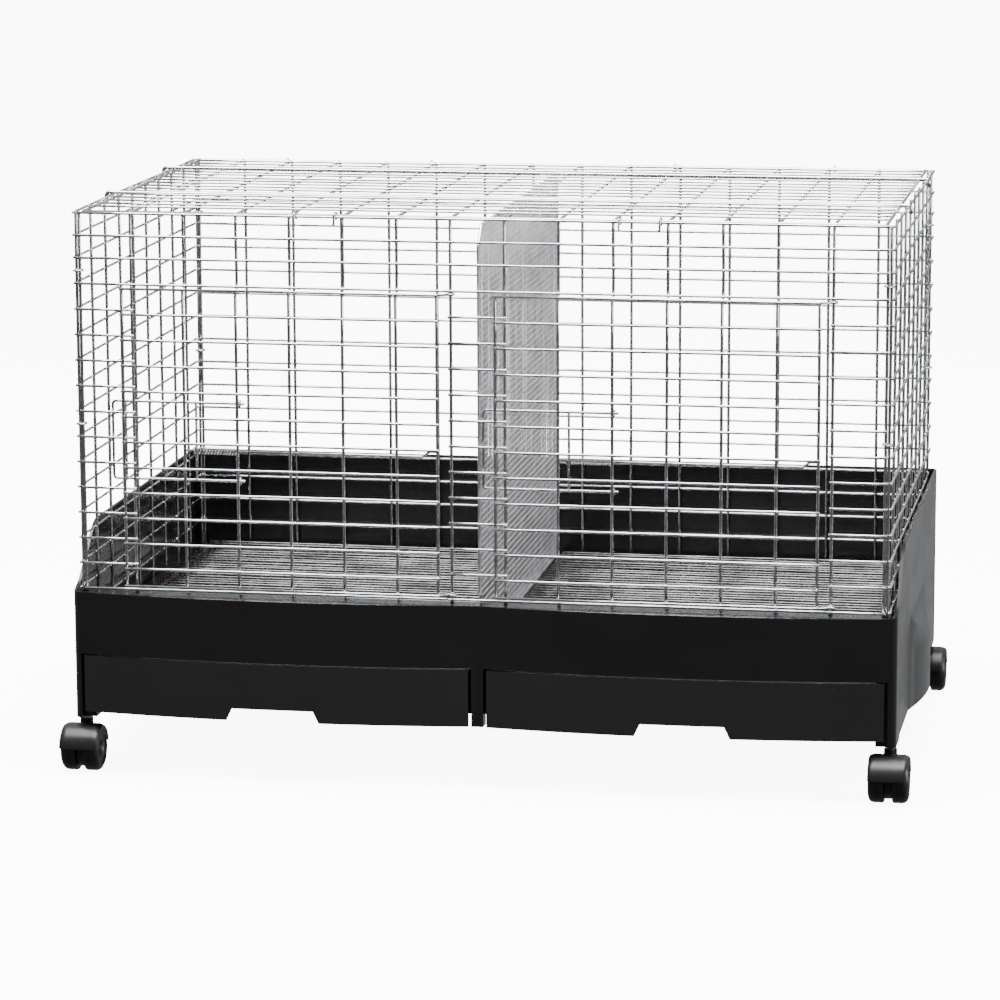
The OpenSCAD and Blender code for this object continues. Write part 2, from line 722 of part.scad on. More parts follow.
tub_shell();
front_panel();
back_panel();
side_panel(-1);  // left_panel
side_panel(1);  // right_panel
corner_hooks();
divider_panel();
floor_grid(-1);  // floor_grid_left
floor_grid(1);  // floor_grid_right
caster_sockets();
door(hinge_posts[0]);  // door_left
door(hinge_posts[1]);  // door_right
latch(hinge_posts[0]);  // latch_left
latch(hinge_posts[1]);  // latch_right
latch_spring(hinge_posts[0]);  // latch_spring_left
latch_spring(hinge_posts[1]);  // latch_spring_right
roof_panel();
roof_clip(clip_x[0]);  // roof_clip_left
roof_clip(clip_x[1]);  // roof_clip_right
tray(-1);  // tray_left
tray(1);  // tray_right
caster_hood(-1, caster_front_y);  // caster_hood_front_left
caster_hood(1, caster_front_y);  // caster_hood_front_right
caster_hood(-1, caster_y);  // caster_hood_rear_left
caster_hood(1, caster_y);  // caster_hood_rear_right
caster_stem(-1, caster_front_y);  // caster_stem_front_left
caster_stem(1, caster_front_y);  // caster_stem_front_right
caster_stem(-1, caster_y);  // caster_stem_rear_left
caster_stem(1, caster_y);  // caster_stem_rear_right
caster_axle(-1, caster_front_y);  // caster_axle_front_left
caster_axle(1, caster_front_y);  // caster_axle_front_right
caster_axle(-1, caster_y);  // caster_axle_rear_left
caster_axle(1, caster_y);  // caster_axle_rear_right
caster_wheel(-1, caster_front_y, -1);  // outer_wheel_front_left
caster_wheel(1, caster_front_y, 1);  // outer_wheel_front_right
caster_wheel(-1, caster_y, -1);  // outer_wheel_rear_left
caster_wheel(1, caster_y, 1);  // outer_wheel_rear_right
caster_wheel(-1, caster_front_y, 1);  // inner_wheel_front_left
caster_wheel(1, caster_front_y, -1);  // inner_wheel_front_right
caster_wheel(-1, caster_y, 1);  // inner_wheel_rear_left
caster_wheel(1, caster_y, -1);  // inner_wheel_rear_right
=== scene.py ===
"""Looks of the wire rabbit cage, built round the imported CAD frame.

Metres, in the row frame: +X right, +Y back, +Z up.
"""
import json
import math
import random

import bpy
import bmesh
from mathutils import Matrix, Vector


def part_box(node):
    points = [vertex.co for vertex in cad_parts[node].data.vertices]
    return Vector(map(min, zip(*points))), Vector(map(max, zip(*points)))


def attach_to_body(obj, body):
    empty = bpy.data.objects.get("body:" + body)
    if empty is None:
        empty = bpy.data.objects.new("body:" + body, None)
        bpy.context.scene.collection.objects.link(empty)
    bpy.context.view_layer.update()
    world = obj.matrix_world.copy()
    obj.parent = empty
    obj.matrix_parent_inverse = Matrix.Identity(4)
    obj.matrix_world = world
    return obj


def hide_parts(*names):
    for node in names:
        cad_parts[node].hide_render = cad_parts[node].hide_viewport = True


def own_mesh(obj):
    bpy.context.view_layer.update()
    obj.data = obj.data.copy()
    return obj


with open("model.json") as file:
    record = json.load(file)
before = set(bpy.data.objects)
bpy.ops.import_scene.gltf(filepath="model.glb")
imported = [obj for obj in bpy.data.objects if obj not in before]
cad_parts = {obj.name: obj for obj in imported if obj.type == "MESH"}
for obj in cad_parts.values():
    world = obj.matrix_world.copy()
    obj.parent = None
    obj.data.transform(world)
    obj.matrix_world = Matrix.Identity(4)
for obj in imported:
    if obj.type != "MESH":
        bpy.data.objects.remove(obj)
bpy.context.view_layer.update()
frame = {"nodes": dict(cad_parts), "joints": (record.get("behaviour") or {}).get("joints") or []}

JOINT = {j["name"]: j for j in frame["joints"]}
SIDES = ("left", "right")
CORNERS = ("front_left", "front_right", "rear_left", "rear_right")

# Wire radii
POST_R = 0.0016
RAIL_R = 0.0013
LATCH_R = 0.0014
CLIP_R = 0.0011
STIFFENER_R = 0.0020
ROOF_BAR_R = 0.0015
ROOF_WIRE_R = 0.0011
RING_R = 0.0011
MESH_R = 0.0005
MESH_FRAME_R = 0.0016
FLOOR_WIRE_R = 0.0010
CARRIER_R = 0.0015

# Wire grid, from the frame
FRONT_BAYS = 15
SIDE_BAYS = 9
EVEN_RAILS = 13
HEADER_RAIL = 12
LAST_RAIL = 15
RAIL_PITCH = 0.02525
TAIL = 0.006
OVERHANG = 0.0025
FRONT_LO, FRONT_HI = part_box("front_panel")
BACK_LO, BACK_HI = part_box("back_panel")
BOX_HALF = FRONT_HI.x
PITCH = 2 * BOX_HALF / FRONT_BAYS
POST_FRONT = FRONT_HI.y - POST_R
POST_BACK = BACK_LO.y + POST_R
RAIL_FRONT = FRONT_LO.y + RAIL_R
RAIL_BACK = BACK_HI.y - RAIL_R
SIDE_PITCH = (POST_BACK - POST_FRONT) / SIDE_BAYS
RAIL_Z0 = FRONT_LO.z + TAIL
TOP_Z = FRONT_HI.z - RAIL_R
POST_TOP = TOP_Z + RAIL_R
CORNER_INSET = POST_R + 0.00005
# Doors, latches, loops and weld beads
DOOR_DROP = 0.0035
LOOP_GAP = 0.0004
EYE_R = 0.0012
WELD_R = 0.0013
# Stiffening wires and hinge loops of the roof, as in part.scad
STIFFENER_Y = (-0.102, 0.126)
ROOF_LOOP_X = (-0.296, -0.138, 0.125, 0.295)


def rail_z(k):
    """Height of horizontal rail k, counted from the bottom of the front panel."""
    if k <= EVEN_RAILS:
        return RAIL_Z0 + k * RAIL_PITCH
    step = (TOP_Z - RAIL_Z0 - EVEN_RAILS * RAIL_PITCH) / (LAST_RAIL - EVEN_RAILS)
    return TOP_Z - (LAST_RAIL - k) * step


def post_x(i):
    """Place of front post i, counted from the left."""
    if i == 0:
        return -BOX_HALF + CORNER_INSET
    if i == FRONT_BAYS:
        return BOX_HALF - CORNER_INSET
    return -BOX_HALF + i * PITCH


def in_door(i):
    """Whether front post i stands behind a door."""
    return 1 < i < 7 or 8 < i < 14


# ---------------------------------------------------------------- materials

def new_material(name):
    """A new node material with its shader and coordinate nodes."""
    mat = bpy.data.materials.new(name)
    mat.use_nodes = True
    nodes, links = mat.node_tree.nodes, mat.node_tree.links
    shader = nodes["Principled BSDF"]
    coords = nodes.new("ShaderNodeTexCoord")
    return mat, nodes, links, shader, coords


def noise(nodes, links, coords, scale, detail=4.0, stretch=(1, 1, 1)):
    """Noise in object space, stretched along the axes, in features per metre."""
    mapping = nodes.new("ShaderNodeMapping")
    mapping.inputs["Scale"].default_value = stretch
    links.new(coords.outputs["Object"], mapping.inputs["Vector"])
    texture = nodes.new("ShaderNodeTexNoise")
    texture.inputs["Scale"].default_value = scale
    texture.inputs["Detail"].default_value = detail
    links.new(mapping.outputs["Vector"], texture.inputs["Vector"])
    return texture.outputs["Fac"]


def spread(nodes, links, value, low, high, start=0.3, end=0.7):
    """Maps start..end of a value to low..high."""
    ramp = nodes.new("ShaderNodeMapRange")
    ramp.inputs["From Min"].default_value = start
    ramp.inputs["From Max"].default_value = end
    ramp.inputs["To Min"].default_value = low
    ramp.inputs["To Max"].default_value = high
    links.new(value, ramp.inputs["Value"])
    return ramp.outputs["Result"]


def tint(nodes, links, value, dark, light):
    """Mixes from a dark to a light colour as a value rises."""
    ramp = nodes.new("ShaderNodeValToRGB")
    ramp.color_ramp.elements[0].position = 0.3
    ramp.color_ramp.elements[0].color = (*dark, 1)
    ramp.color_ramp.elements[1].position = 0.7
    ramp.color_ramp.elements[1].color = (*light, 1)
    links.new(value, ramp.inputs["Fac"])
    return ramp.outputs["Color"]


def bump(nodes, links, shader, value, distance, strength=1.0):
    """Fine relief in metres, from a value."""
    node = nodes.new("ShaderNodeBump")
    node.inputs["Distance"].default_value = distance
    node.inputs["Strength"].default_value = strength
    links.new(value, node.inputs["Height"])
    links.new(node.outputs["Normal"], shader.inputs["Normal"])


def metal(name, dark, light, rough, patch=55.0, grain=900.0, depth=0.00004):
    """Plated wire: soft cloudy tarnish over faint drawing marks."""
    mat, nodes, links, shader, coords = new_material(name)
    shader.inputs["Metallic"].default_value = 1.0
    cloud = noise(nodes, links, coords, patch, 5.0)
    links.new(tint(nodes, links, cloud, dark, light), shader.inputs["Base Color"])
    fine = noise(nodes, links, coords, grain, 2.0)
    links.new(spread(nodes, links, fine, *rough), shader.inputs["Roughness"])
    bump(nodes, links, shader, fine, depth, 0.35)
    return mat


def plastic(name, dark, light, rough, grain=1400.0, depth=0.00006, coat=0.0, coat_rough=0.12):
    """Moulded plastic: fine spark-eroded grain, with slow changes of sheen from handling."""
    mat, nodes, links, shader, coords = new_material(name)
    shader.inputs["IOR"].default_value = 1.5
    shader.inputs["Specular IOR Level"].default_value = 0.4
    shader.inputs["Coat Weight"].default_value = coat
    shader.inputs["Coat Roughness"].default_value = coat_rough
    slow = noise(nodes, links, coords, 9.0, 3.0)
    links.new(tint(nodes, links, slow, dark, light), shader.inputs["Base Color"])
    wiped = noise(nodes, links, coords, 16.0, 6.0, (1.0, 1.0, 2.6))
    links.new(spread(nodes, links, wiped, *rough), shader.inputs["Roughness"])
    bump(nodes, links, shader, noise(nodes, links, coords, grain, 2.0), depth, 0.2)
    return mat


CHROME = metal("chrome_wire", (0.52, 0.52, 0.53), (0.82, 0.82, 0.83), (0.10, 0.20))
FINE_CHROME = metal("fine_mesh_wire", (0.66, 0.66, 0.68), (0.90, 0.90, 0.92), (0.28, 0.42), 40.0)
ZINC = metal("zinc_floor_wire", (0.10, 0.10, 0.10), (0.30, 0.30, 0.29), (0.16, 0.32), 22.0)
STEEL = metal("bright_drawn_steel", (0.40, 0.40, 0.40), (0.70, 0.70, 0.70), (0.16, 0.30), 120.0)
TUB = plastic("tub_plastic", (0.0068, 0.0068, 0.0073), (0.0086, 0.0086, 0.0092), (0.17, 0.24), coat=0.12)
TRAY = plastic("tray_plastic", (0.0128, 0.0128, 0.0138), (0.0152, 0.0152, 0.0163), (0.27, 0.34))
NYLON = plastic("caster_nylon", (0.0040, 0.0040, 0.0042), (0.0075, 0.0075, 0.0080), (0.28, 0.44), 900.0)
TREAD = plastic("wheel_tread", (0.0040, 0.0040, 0.0040), (0.0090, 0.0090, 0.0092), (0.32, 0.50), 700.0)


# ---------------------------------------------------------------- wire work

class Wires:
    """Collects round wires, welds and coils into one mesh."""

    def __init__(self, seed=0):
        self.verts, self.faces = [], []
        self.chance = random.Random(seed)

    def ring(self, centre, side, up, radius, sides):
        """Adds a ring of points and returns the number of its first."""
        first = len(self.verts)
        for n in range(sides):
            a = 2 * math.pi * n / sides
            self.verts.append(centre + radius * (math.cos(a) * side + math.sin(a) * up))
        return first

    def skin(self, a, b, sides):
        """Joins two rings, given by their first points."""
        for n in range(sides):
            m = (n + 1) % sides
            self.faces.append((a + n, a + m, b + m, b + n))

    def cap(self, ring, sides, flip):
        """Closes a ring."""
        loop = [ring + n for n in range(sides)]
        self.faces.append(tuple(reversed(loop)) if flip else tuple(loop))

    def sweep(self, path, radius, sides=12, closed=False):
        """A wire of one radius along a path, with slightly rounded cut ends."""
        path = [Vector(p) for p in path]
        count = len(path)
        tangents = []
        for n in range(count):
            before = path[n - 1] if closed or n else path[n]
            after = path[(n + 1) % count] if closed or n < count - 1 else path[n]
            tangents.append((after - before).normalized())
        t = tangents[0]
        helper = Vector((0, 0, 1)) if abs(t.z) < 0.9 else Vector((1, 0, 0))
        side = t.cross(helper).normalized()
        rings = []
        ease = radius * 0.35
        if not closed:
            rings.append(self.ring(path[0], side, t.cross(side), radius * 0.72, sides))
        for n in range(count):
            t = tangents[n]
            side = (side - t * side.dot(t)).normalized()
            centre = path[n]
            if not closed and n == 0:
                centre = path[0] + t * ease
            if not closed and n == count - 1:
                centre = path[n] - t * ease
            rings.append(self.ring(centre, side, t.cross(side), radius, sides))
        if not closed:
            rings.append(self.ring(path[-1], side, t.cross(side), radius * 0.72, sides))
        for a, b in zip(rings, rings[1:]):
            self.skin(a, b, sides)
        if closed:
            self.skin(rings[-1], rings[0], sides)
        else:
            self.cap(rings[0], sides, True)
            self.cap(rings[-1], sides, False)

    def straight(self, a, b, radius, sway=0.0, bays=8, sides=12):
        """A straight wire, or one with the slight wander that a drawn and welded wire has."""
        a, b = Vector(a), Vector(b)
        if sway == 0:
            self.sweep([a, b], radius, sides)
            return
        t = (b - a).normalized()
        helper = Vector((0, 0, 1)) if abs(t.z) < 0.9 else Vector((1, 0, 0))
        side = t.cross(helper).normalized()
        up = t.cross(side)
        shift = [self.chance.uniform(-sway, sway) for _ in range(4)]
        path = []
        for n in range(bays + 1):
            u = n / bays
            s = math.sin(math.pi * u)
            w = math.sin(2 * math.pi * u)
            across = side * (shift[0] * s + shift[1] * w)
            upward = up * (shift[2] * s + shift[3] * w)
            path.append(a.lerp(b, u) + across + upward)
        self.sweep(path, radius, sides)

    def weld(self, centre, radius, along):
        """A small flattened bead where two wires are fused."""
        along = Vector(along).normalized()
        helper = Vector((0, 0, 1)) if abs(along.z) < 0.9 else Vector((1, 0, 0))
        side = along.cross(helper).normalized()
        up = along.cross(side)
        sides = 8
        grow = self.chance.uniform(0.9, 1.12)
        rings = [
            self.ring(Vector(centre) + along * radius * z, side, up, radius * grow * r, sides)
            for z, r in ((-0.85, 0.35), (-0.45, 0.85), (0.0, 1.0), (0.45, 0.85), (0.85, 0.35))
        ]
        for a, b in zip(rings, rings[1:]):
            self.skin(a, b, sides)
        self.cap(rings[0], sides, True)
        self.cap(rings[-1], sides, False)

    def build(self, name, material):
        """Makes the object from all the wires so far."""
        mesh = bpy.data.meshes.new(name)
        mesh.from_pydata([tuple(v) for v in self.verts], [], self.faces)
        mesh.update()
        obj = bpy.data.objects.new(name, mesh)
        bpy.context.scene.collection.objects.link(obj)
        mesh.materials.append(material)
        clean(obj)
        return obj


def clean(obj):
    """Outward normals, and smooth shading that keeps sharp corners."""
    bm = bmesh.new()
    bm.from_mesh(obj.data)
    bmesh.ops.recalc_face_normals(bm, faces=bm.faces)
    bm.to_mesh(obj.data)
    bm.free()
    obj.data.shade_smooth()
    obj.data.set_sharp_from_angle(angle=math.radians(50))


def bent(points, radius, steps=5):
    """A polyline with its corners rounded to arcs of the given radius."""
    points = [Vector(p) for p in points]
    path = [points[0]]
    for before, here, after in zip(points, points[1:], points[2:]):
        a, b = (before - here).normalized(), (after - here).normalized()
        half = a.angle(b) / 2
        reach = min(radius / math.tan(half), 0.45 * (before - here).length, 0.45 * (after - here).length)
        start, end = here + a * reach, here + b * reach
        for n in range(steps + 1):
            u = n / steps
            path.append(start.lerp(here, u).lerp(here.lerp(end, u), u))
    path.append(points[-1])
    return path


def arc(centre, first, second, radius, start, stop, steps):
    """Points on a circle that first and second span, from start to stop degrees."""
    centre, first, second = Vector(centre), Vector(first), Vector(second)
    angles = [math.radians(start + (stop - start) * n / steps) for n in range(steps + 1)]
    return [centre + radius * (math.cos(a) * first + math.sin(a) * second) for a in angles]


def attach(obj, body, slot, *nodes):
    """Rides on a body and stands for CAD nodes; slot is not used."""
    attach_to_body(obj, body)
    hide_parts(*nodes)
    return obj


# Wander of a wire that is nominally straight
SWAY = 0.00022
BAR_SWAY = 0.0002
THIN_SWAY = 0.0003
MESH_SWAY = 0.00012


def front_panel():
    """Fixed front wires round the two doorways, with short tails below each door."""
    w = Wires(11)
    for i in range(FRONT_BAYS + 1):
        low = rail_z(HEADER_RAIL) - OVERHANG if in_door(i) else RAIL_Z0 - TAIL
        w.straight((post_x(i), POST_FRONT, low), (post_x(i), POST_FRONT, POST_TOP), POST_R, SWAY)
        if in_door(i):
            tail_top = RAIL_Z0 + 0.0015
            w.straight((post_x(i), POST_FRONT, RAIL_Z0 - TAIL), (post_x(i), POST_FRONT, tail_top), POST_R)
    spans = [(-BOX_HALF, BOX_HALF, [0, *range(HEADER_RAIL, LAST_RAIL + 1)])]
    between = range(1, HEADER_RAIL)
    spans.append((-BOX_HALF, post_x(1) + OVERHANG, between))
    spans.append((post_x(7) - OVERHANG, post_x(8) + OVERHANG, between))
    spans.append((post_x(14) - OVERHANG, BOX_HALF, between))
    for x0, x1, rails in spans:
        for k in rails:
            z = rail_z(k)
            sway = SWAY if x1 - x0 > 0.2 else 0
            w.straight((x0, RAIL_FRONT, z), (x1, RAIL_FRONT, z), RAIL_R, sway, 16)
            for i in range(FRONT_BAYS + 1):
                if x0 - 0.004 < post_x(i) < x1 + 0.004:
                    w.weld((post_x(i), POST_FRONT - POST_R * 0.9, z), WELD_R, (1, 0, 0))
    attach(w.build("front_wire_panel", CHROME), "base", "chrome_wire", "front_panel")


def back_panel():
    """Full grid of the back."""
    w = Wires(12)
    for i in range(FRONT_BAYS + 1):
        w.straight((post_x(i), POST_BACK, BACK_LO.z), (post_x(i), POST_BACK, POST_TOP), POST_R, SWAY)
    for k in range(-1, LAST_RAIL + 1):
        z = rail_z(k)
        sway = SWAY if k < LAST_RAIL else 0
        w.straight((-BOX_HALF, RAIL_BACK, z), (BOX_HALF, RAIL_BACK, z), RAIL_R, sway, 16)
        for i in range(FRONT_BAYS + 1):
            w.weld((post_x(i), POST_BACK + POST_R * 0.9, z), WELD_R, (1, 0, 0))
    attach(w.build("back_wire_panel", CHROME), "base", "chrome_wire", "back_panel")


def side_panel(name, side):
    """Grid of one side; its lowest rail starts behind the front post."""
    low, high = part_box(f"{name}_panel")
    outer = high.x if side > 0 else low.x
    inner = low.x if side > 0 else high.x
    post = inner + side * POST_R
    rail = outer - side * RAIL_R
    w = Wires(13 + side)
    for j in range(SIDE_BAYS + 1):
        y = POST_FRONT + j * SIDE_PITCH
        z0 = RAIL_Z0 - TAIL if j == 0 else low.z
        w.straight((post, y, z0), (post, y, POST_TOP), POST_R, SWAY)
    for k in range(-1, LAST_RAIL + 1):
        y0 = POST_FRONT + SIDE_PITCH - OVERHANG if k < 0 else low.y
        z = rail_z(k)
        w.straight((rail, y0, z), (rail, high.y, z), RAIL_R, SWAY, 10)
        for j in range(1 if k < 0 else 0, SIDE_BAYS + 1):
            y = POST_FRONT + j * SIDE_PITCH
            w.weld((post + side * POST_R * 0.9, y, z), WELD_R, (0, 1, 0))
    attach(w.build(f"{name}_wire_panel", CHROME), "base", "chrome_wire", f"{name}_panel")


def corner_rings():
    """Tie rings closed round two corner posts, their ends lapping a little."""
    w = Wires(15)
    radius, lap, steps = 0.0047, 0.0009, 30
    for sx in (-1, 1):
        for y in (POST_FRONT, POST_BACK):
            for k in (6, 12):
                z = rail_z(k) + RAIL_PITCH / 2
                path = []
                for n in range(steps + 1):
                    a = math.radians(-sx * 100 + 348 * n / steps)
                    lift = lap * (n / steps - 0.5)
                    x = sx * BOX_HALF + radius * math.cos(a)
                    path.append(Vector((x, y + radius * math.sin(a), z + lift)))
                w.sweep(path, RING_R * 0.9, 10)
    attach(w.build("corner_tie_rings", STEEL), "base", "chrome_wire", "corner_hooks")


def divider():
    """Fine mesh between the rooms, with a cut upper corner and a step behind the fascia."""
    low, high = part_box("divider_panel")
    front, back = low.y + MESH_FRAME_R, high.y - MESH_FRAME_R
    bottom, top = low.z + MESH_FRAME_R, high.z - MESH_FRAME_R
    cut, step, step_z = 0.018, 0.011, RAIL_Z0 - TAIL + 0.0085
    w = Wires(16)
    outline = [
        (0, front + step, bottom), (0, front + step, step_z), (0, front, step_z), (0, front, top - cut),
        (0, front + cut, top), (0, back, top), (0, back, bottom), (0, front + step, bottom),
    ]
    w.sweep(bent(outline, 0.004, 4)[:-1], MESH_FRAME_R, 12, closed=True)
    columns = 88
    for n in range(1, columns):
        y = front + (back - front) * n / columns
        z0 = step_z if y < front + step else bottom
        z1 = min(top, top - cut + (y - front))
        w.straight((0, y, z0), (0, y, z1), MESH_R, MESH_SWAY, 6, 8)
    rows = 66
    for n in range(1, rows):
        z = bottom + (top - bottom) * n / rows
        y0 = front + step if z < step_z else front + max(0, z - (top - cut))
        w.straight((MESH_R * 1.7, y0, z), (MESH_R * 1.7, back, z), MESH_R, MESH_SWAY, 6, 8)
    attach(w.build("divider_mesh", FINE_CHROME), "base", "mesh_wire", "divider_panel")


def floor_grid(name):
    """Thin left-right wires over thicker carriers."""
    low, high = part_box(f"floor_grid_{name}")
    w = Wires(17 + len(name))
    pitch, first, spare = 0.0122, 0.004, 0.006
    rows = int((high.y - low.y - spare) / pitch)
    top = high.z - FLOOR_WIRE_R
    for n in range(rows + 1):
        y = low.y + first + n * pitch
        w.straight((low.x, y, top), (high.x, y, top), FLOOR_WIRE_R, THIN_SWAY, 12, 8)
    carriers = 8
    edge = 0.006
    for n in range(carriers + 1):
        x = low.x + edge + (high.x - low.x - 2 * edge) * n / carriers
        z = low.z + CARRIER_R
        w.straight((x, low.y, z), (x, high.y, z), CARRIER_R, BAR_SWAY, 8, 10)
    attach(w.build(f"floor_wires_{name}", ZINC), "base", "floor_steel", f"floor_grid_{name}")


def door(name):
    """Door grid with its hinge hooks, the latch rod and the guide rings."""
    hx = JOINT[f"door_{name}_swing"]["pos_m"][0]
    body = f"door_{name}"
    low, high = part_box(body)
    edge_r, end_gap, hinge_gap, overlap = 0.0016, 0.002, 0.0126, 0.00035
    loop_r = POST_R + LOOP_GAP + RAIL_R
    rail_y = low.y + edge_r
    post_y = rail_y + POST_R + RAIL_R - overlap
    bottom, top = low.z + edge_r, high.z - edge_r
    left, right = low.x + end_gap, hx - hinge_gap
    w = Wires(31 + len(name))
    posts = [left, *[hx - n * PITCH for n in range(5, 0, -1)], right]
    for x in posts:
        w.straight((x, post_y, bottom), (x, post_y, top), POST_R, 0.00015)
    for k in range(1, HEADER_RAIL):
        z = rail_z(k) - DOOR_DROP
        w.straight((left - end_gap, rail_y, z), (right + end_gap, rail_y, z), RAIL_R, BAR_SWAY, 10)
        for x in posts:
            w.weld((x, post_y - POST_R * 0.9, z), WELD_R, (1, 0, 0))
    # The top and bottom wires run on and bend round the fixed post
    for z in (bottom, top):
        hook = arc((hx, POST_FRONT, z), (1, 0, 0), (0, 1, 0), loop_r, 215, 530, 26)
        run = [Vector((left - end_gap, rail_y, z)), Vector((right, rail_y, z))]
        path = bent([*run, hook[0]], 0.006, 6)
        w.sweep([*path[:-1], *hook], RAIL_R, 12)
        for x in posts:
            w.weld((x, post_y - POST_R * 0.9, z), 0.0014, (1, 0, 0))
    rod(w, hx, name)
    guides(w, hx, post_y, name)
    attach(w.build(f"door_wires_{name}", CHROME), body, "chrome_wire", body)


def rod_place(name):
    """Centre of the rod that carries the latch: half-way across the spring."""
    low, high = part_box(f"latch_spring_{name}")
    return (low.y + high.y) / 2, (low.z + high.z) / 2


def rod(w, hx, name):
    """The wire that carries the latch and its spring, with a small step near the hinge."""
    y, z = rod_place(name)
    start, end = hx - 0.265, hx - 0.0106
    jog, run, rise = hx - 0.027, 0.006, 0.005
    points = [(start, y, z), (jog, y, z), (jog + run, y, z + rise), (end, y, z + rise)]
    w.sweep(bent(points, 0.004), RAIL_R, 12)


def guides(w, hx, post_y, name):
    """Two rings on the door's fourth post, round the long wires of the latch."""
    low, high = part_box(f"latch_{name}")
    x = hx - 4 * PITCH
    latch_y = high.y - LATCH_R
    ring = LATCH_R + LOOP_GAP + CLIP_R
    for z in (low.z + LATCH_R, high.z - LATCH_R):
        loop = arc((x, latch_y, z), (0, -1, 0), (0, 0, 1), ring, 0, 330, 22)
        w.sweep([Vector((x, post_y, z)), *loop], CLIP_R, 10)


def latch(name):
    """Sliding frame bent from one wire, with two cross wires and an eye on the rod."""
    hx = JOINT[f"door_{name}_swing"]["pos_m"][0]
    low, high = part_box(f"latch_{name}")
    y = high.y - LATCH_R
    bottom, top = low.z + LATCH_R, high.z - LATCH_R
    left, right = low.x + LATCH_R, high.x
    cross = hx - 0.2546
    rod_y, rod_z = rod_place(name)
    w = Wires(41 + len(name))
    frame_path = [(right, y, top), (left, y, top), (left, y, bottom), (right, y, bottom)]
    w.sweep(bent(frame_path, 0.004, 6), LATCH_R, 12)
    for x in (left + 0.013, cross):
        w.straight((x, y, bottom), (x, y, top), LATCH_R)
        for z in (bottom, top):
            w.weld((x, y, z), 0.0015, (1, 0, 0))
    eye = RAIL_R + LOOP_GAP + EYE_R
    loop = arc((cross, rod_y, rod_z), (0, 1, 0), (0, 0, 1), eye, 0, 335, 24)
    w.sweep([Vector((cross, y, rod_z)), *loop], EYE_R, 10)
    attach(w.build(f"latch_frame_{name}", CHROME), f"latch_{name}", "chrome_wire", f"latch_{name}")


def spring(name):
    """Coil round the rod, drawn at the full length of its box; nothing here presses it together."""
    low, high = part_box(f"latch_spring_{name}")
    y, z = rod_place(name)
    wire = 0.0005
    radius = (high.z - low.z) / 2 - wire
    turns, per_turn = 13, 18
    path = []
    for n in range(turns * per_turn + 1):
        u = n / (turns * per_turn)
        a = 2 * math.pi * turns * u
        x = low.x + wire + (high.x - low.x - 2 * wire) * u
        path.append(Vector((x, y + radius * math.cos(a), z + radius * math.sin(a))))
    w = Wires(51)
    w.sweep(path, wire, 8)
    obj = w.build(f"latch_coil_{name}", STEEL)
    attach(obj, f"door_{name}", "spring_steel", f"latch_spring_{name}")
    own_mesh(obj)


def roof():
    """Roof grid, two stiffening wires that hook over the sides, and the hinge loops at the back."""
    low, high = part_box("roof_panel")
    hinge = JOINT["roof_swing"]["pos_m"]
    side_gap, end_gap, overlap, wire_pitch = 0.0042, 0.0047, 0.00035, 0.026
    z = TOP_Z + 0.0005
    half_w, half_d = BOX_HALF - side_gap, -POST_FRONT - end_gap
    w = Wires(61)
    corner = (-half_w, -half_d, z)
    rim = [corner, (half_w, -half_d, z), (half_w, half_d, z), (-half_w, half_d, z), corner]
    w.sweep(bent(rim, 0.003, 4)[:-1], POST_R, 12, closed=True)
    for i in range(1, FRONT_BAYS):
        w.straight((post_x(i), -half_d, z), (post_x(i), half_d, z), ROOF_BAR_R, BAR_SWAY, 8)
    wire_z = z + ROOF_BAR_R + ROOF_WIRE_R - overlap
    rows = int(2 * half_d / wire_pitch)
    for n in range(1, rows):
        y = -half_d + 2 * half_d * n / rows
        w.straight((-half_w, y, wire_z), (half_w, y, wire_z), ROOF_WIRE_R, THIN_SWAY, 16, 8)
    stiff_z = high.z - STIFFENER_R
    hook = high.x - STIFFENER_R
    for y in STIFFENER_Y:
        path = [(-hook, y, low.z), (-hook, y, stiff_z), (hook, y, stiff_z), (hook, y, low.z)]
        w.sweep(bent(path, 0.0045, 6), STIFFENER_R, 14)
    loop_r = RAIL_R + LOOP_GAP + EYE_R
    for x in ROOF_LOOP_X:
        start = Vector((x, half_d, hinge[2]))
        loop = arc((x, hinge[1], hinge[2]), (0, -1, 0), (0, 0, 1), loop_r, 0, 325, 24)
        w.sweep([start, *loop], 0.0011, 10)
    attach(w.build("roof_wires", CHROME), "roof", "chrome_wire", "roof_panel")


def roof_clip(name):
    """One bent wire: two eyes on the roof's front wire and a bow that hangs before the top rail."""
    node = f"roof_clip_{name}"
    low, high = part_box(node)
    pin = JOINT[f"{node}_swing"]["pos_m"]
    eye = POST_R + LOOP_GAP + CLIP_R
    x0, x1 = low.x + CLIP_R, high.x - CLIP_R
    over, front, bottom = pin[2] + eye, low.y + CLIP_R, low.z + CLIP_R + 0.0002
    w = Wires(71)
    ends = [arc((x, pin[1], pin[2]), (0, 0, 1), (0, 1, 0), eye, 330, 0, 22) for x in (x0, x1)]
    bow = [(x0, front, over), (x0, front, bottom), (x1, front, bottom), (x1, front, over)]
    middle = bent([ends[0][-1], *bow, ends[1][-1]], 0.0025, 5)
    w.sweep([*ends[0][:-1], *middle, *ends[1][-2::-1]], CLIP_R, 10)
    attach(w.build(f"clip_wire_{name}", CHROME), node, "chrome_wire", node)


# ---------------------------------------------------------------- moulded parts

def bake(obj):
    """Turns the modifiers of an object into plain mesh."""
    depsgraph = bpy.context.evaluated_depsgraph_get()
    finished = bpy.data.meshes.new_from_object(obj.evaluated_get(depsgraph))
    obj.modifiers.clear()
    obj.data = finished


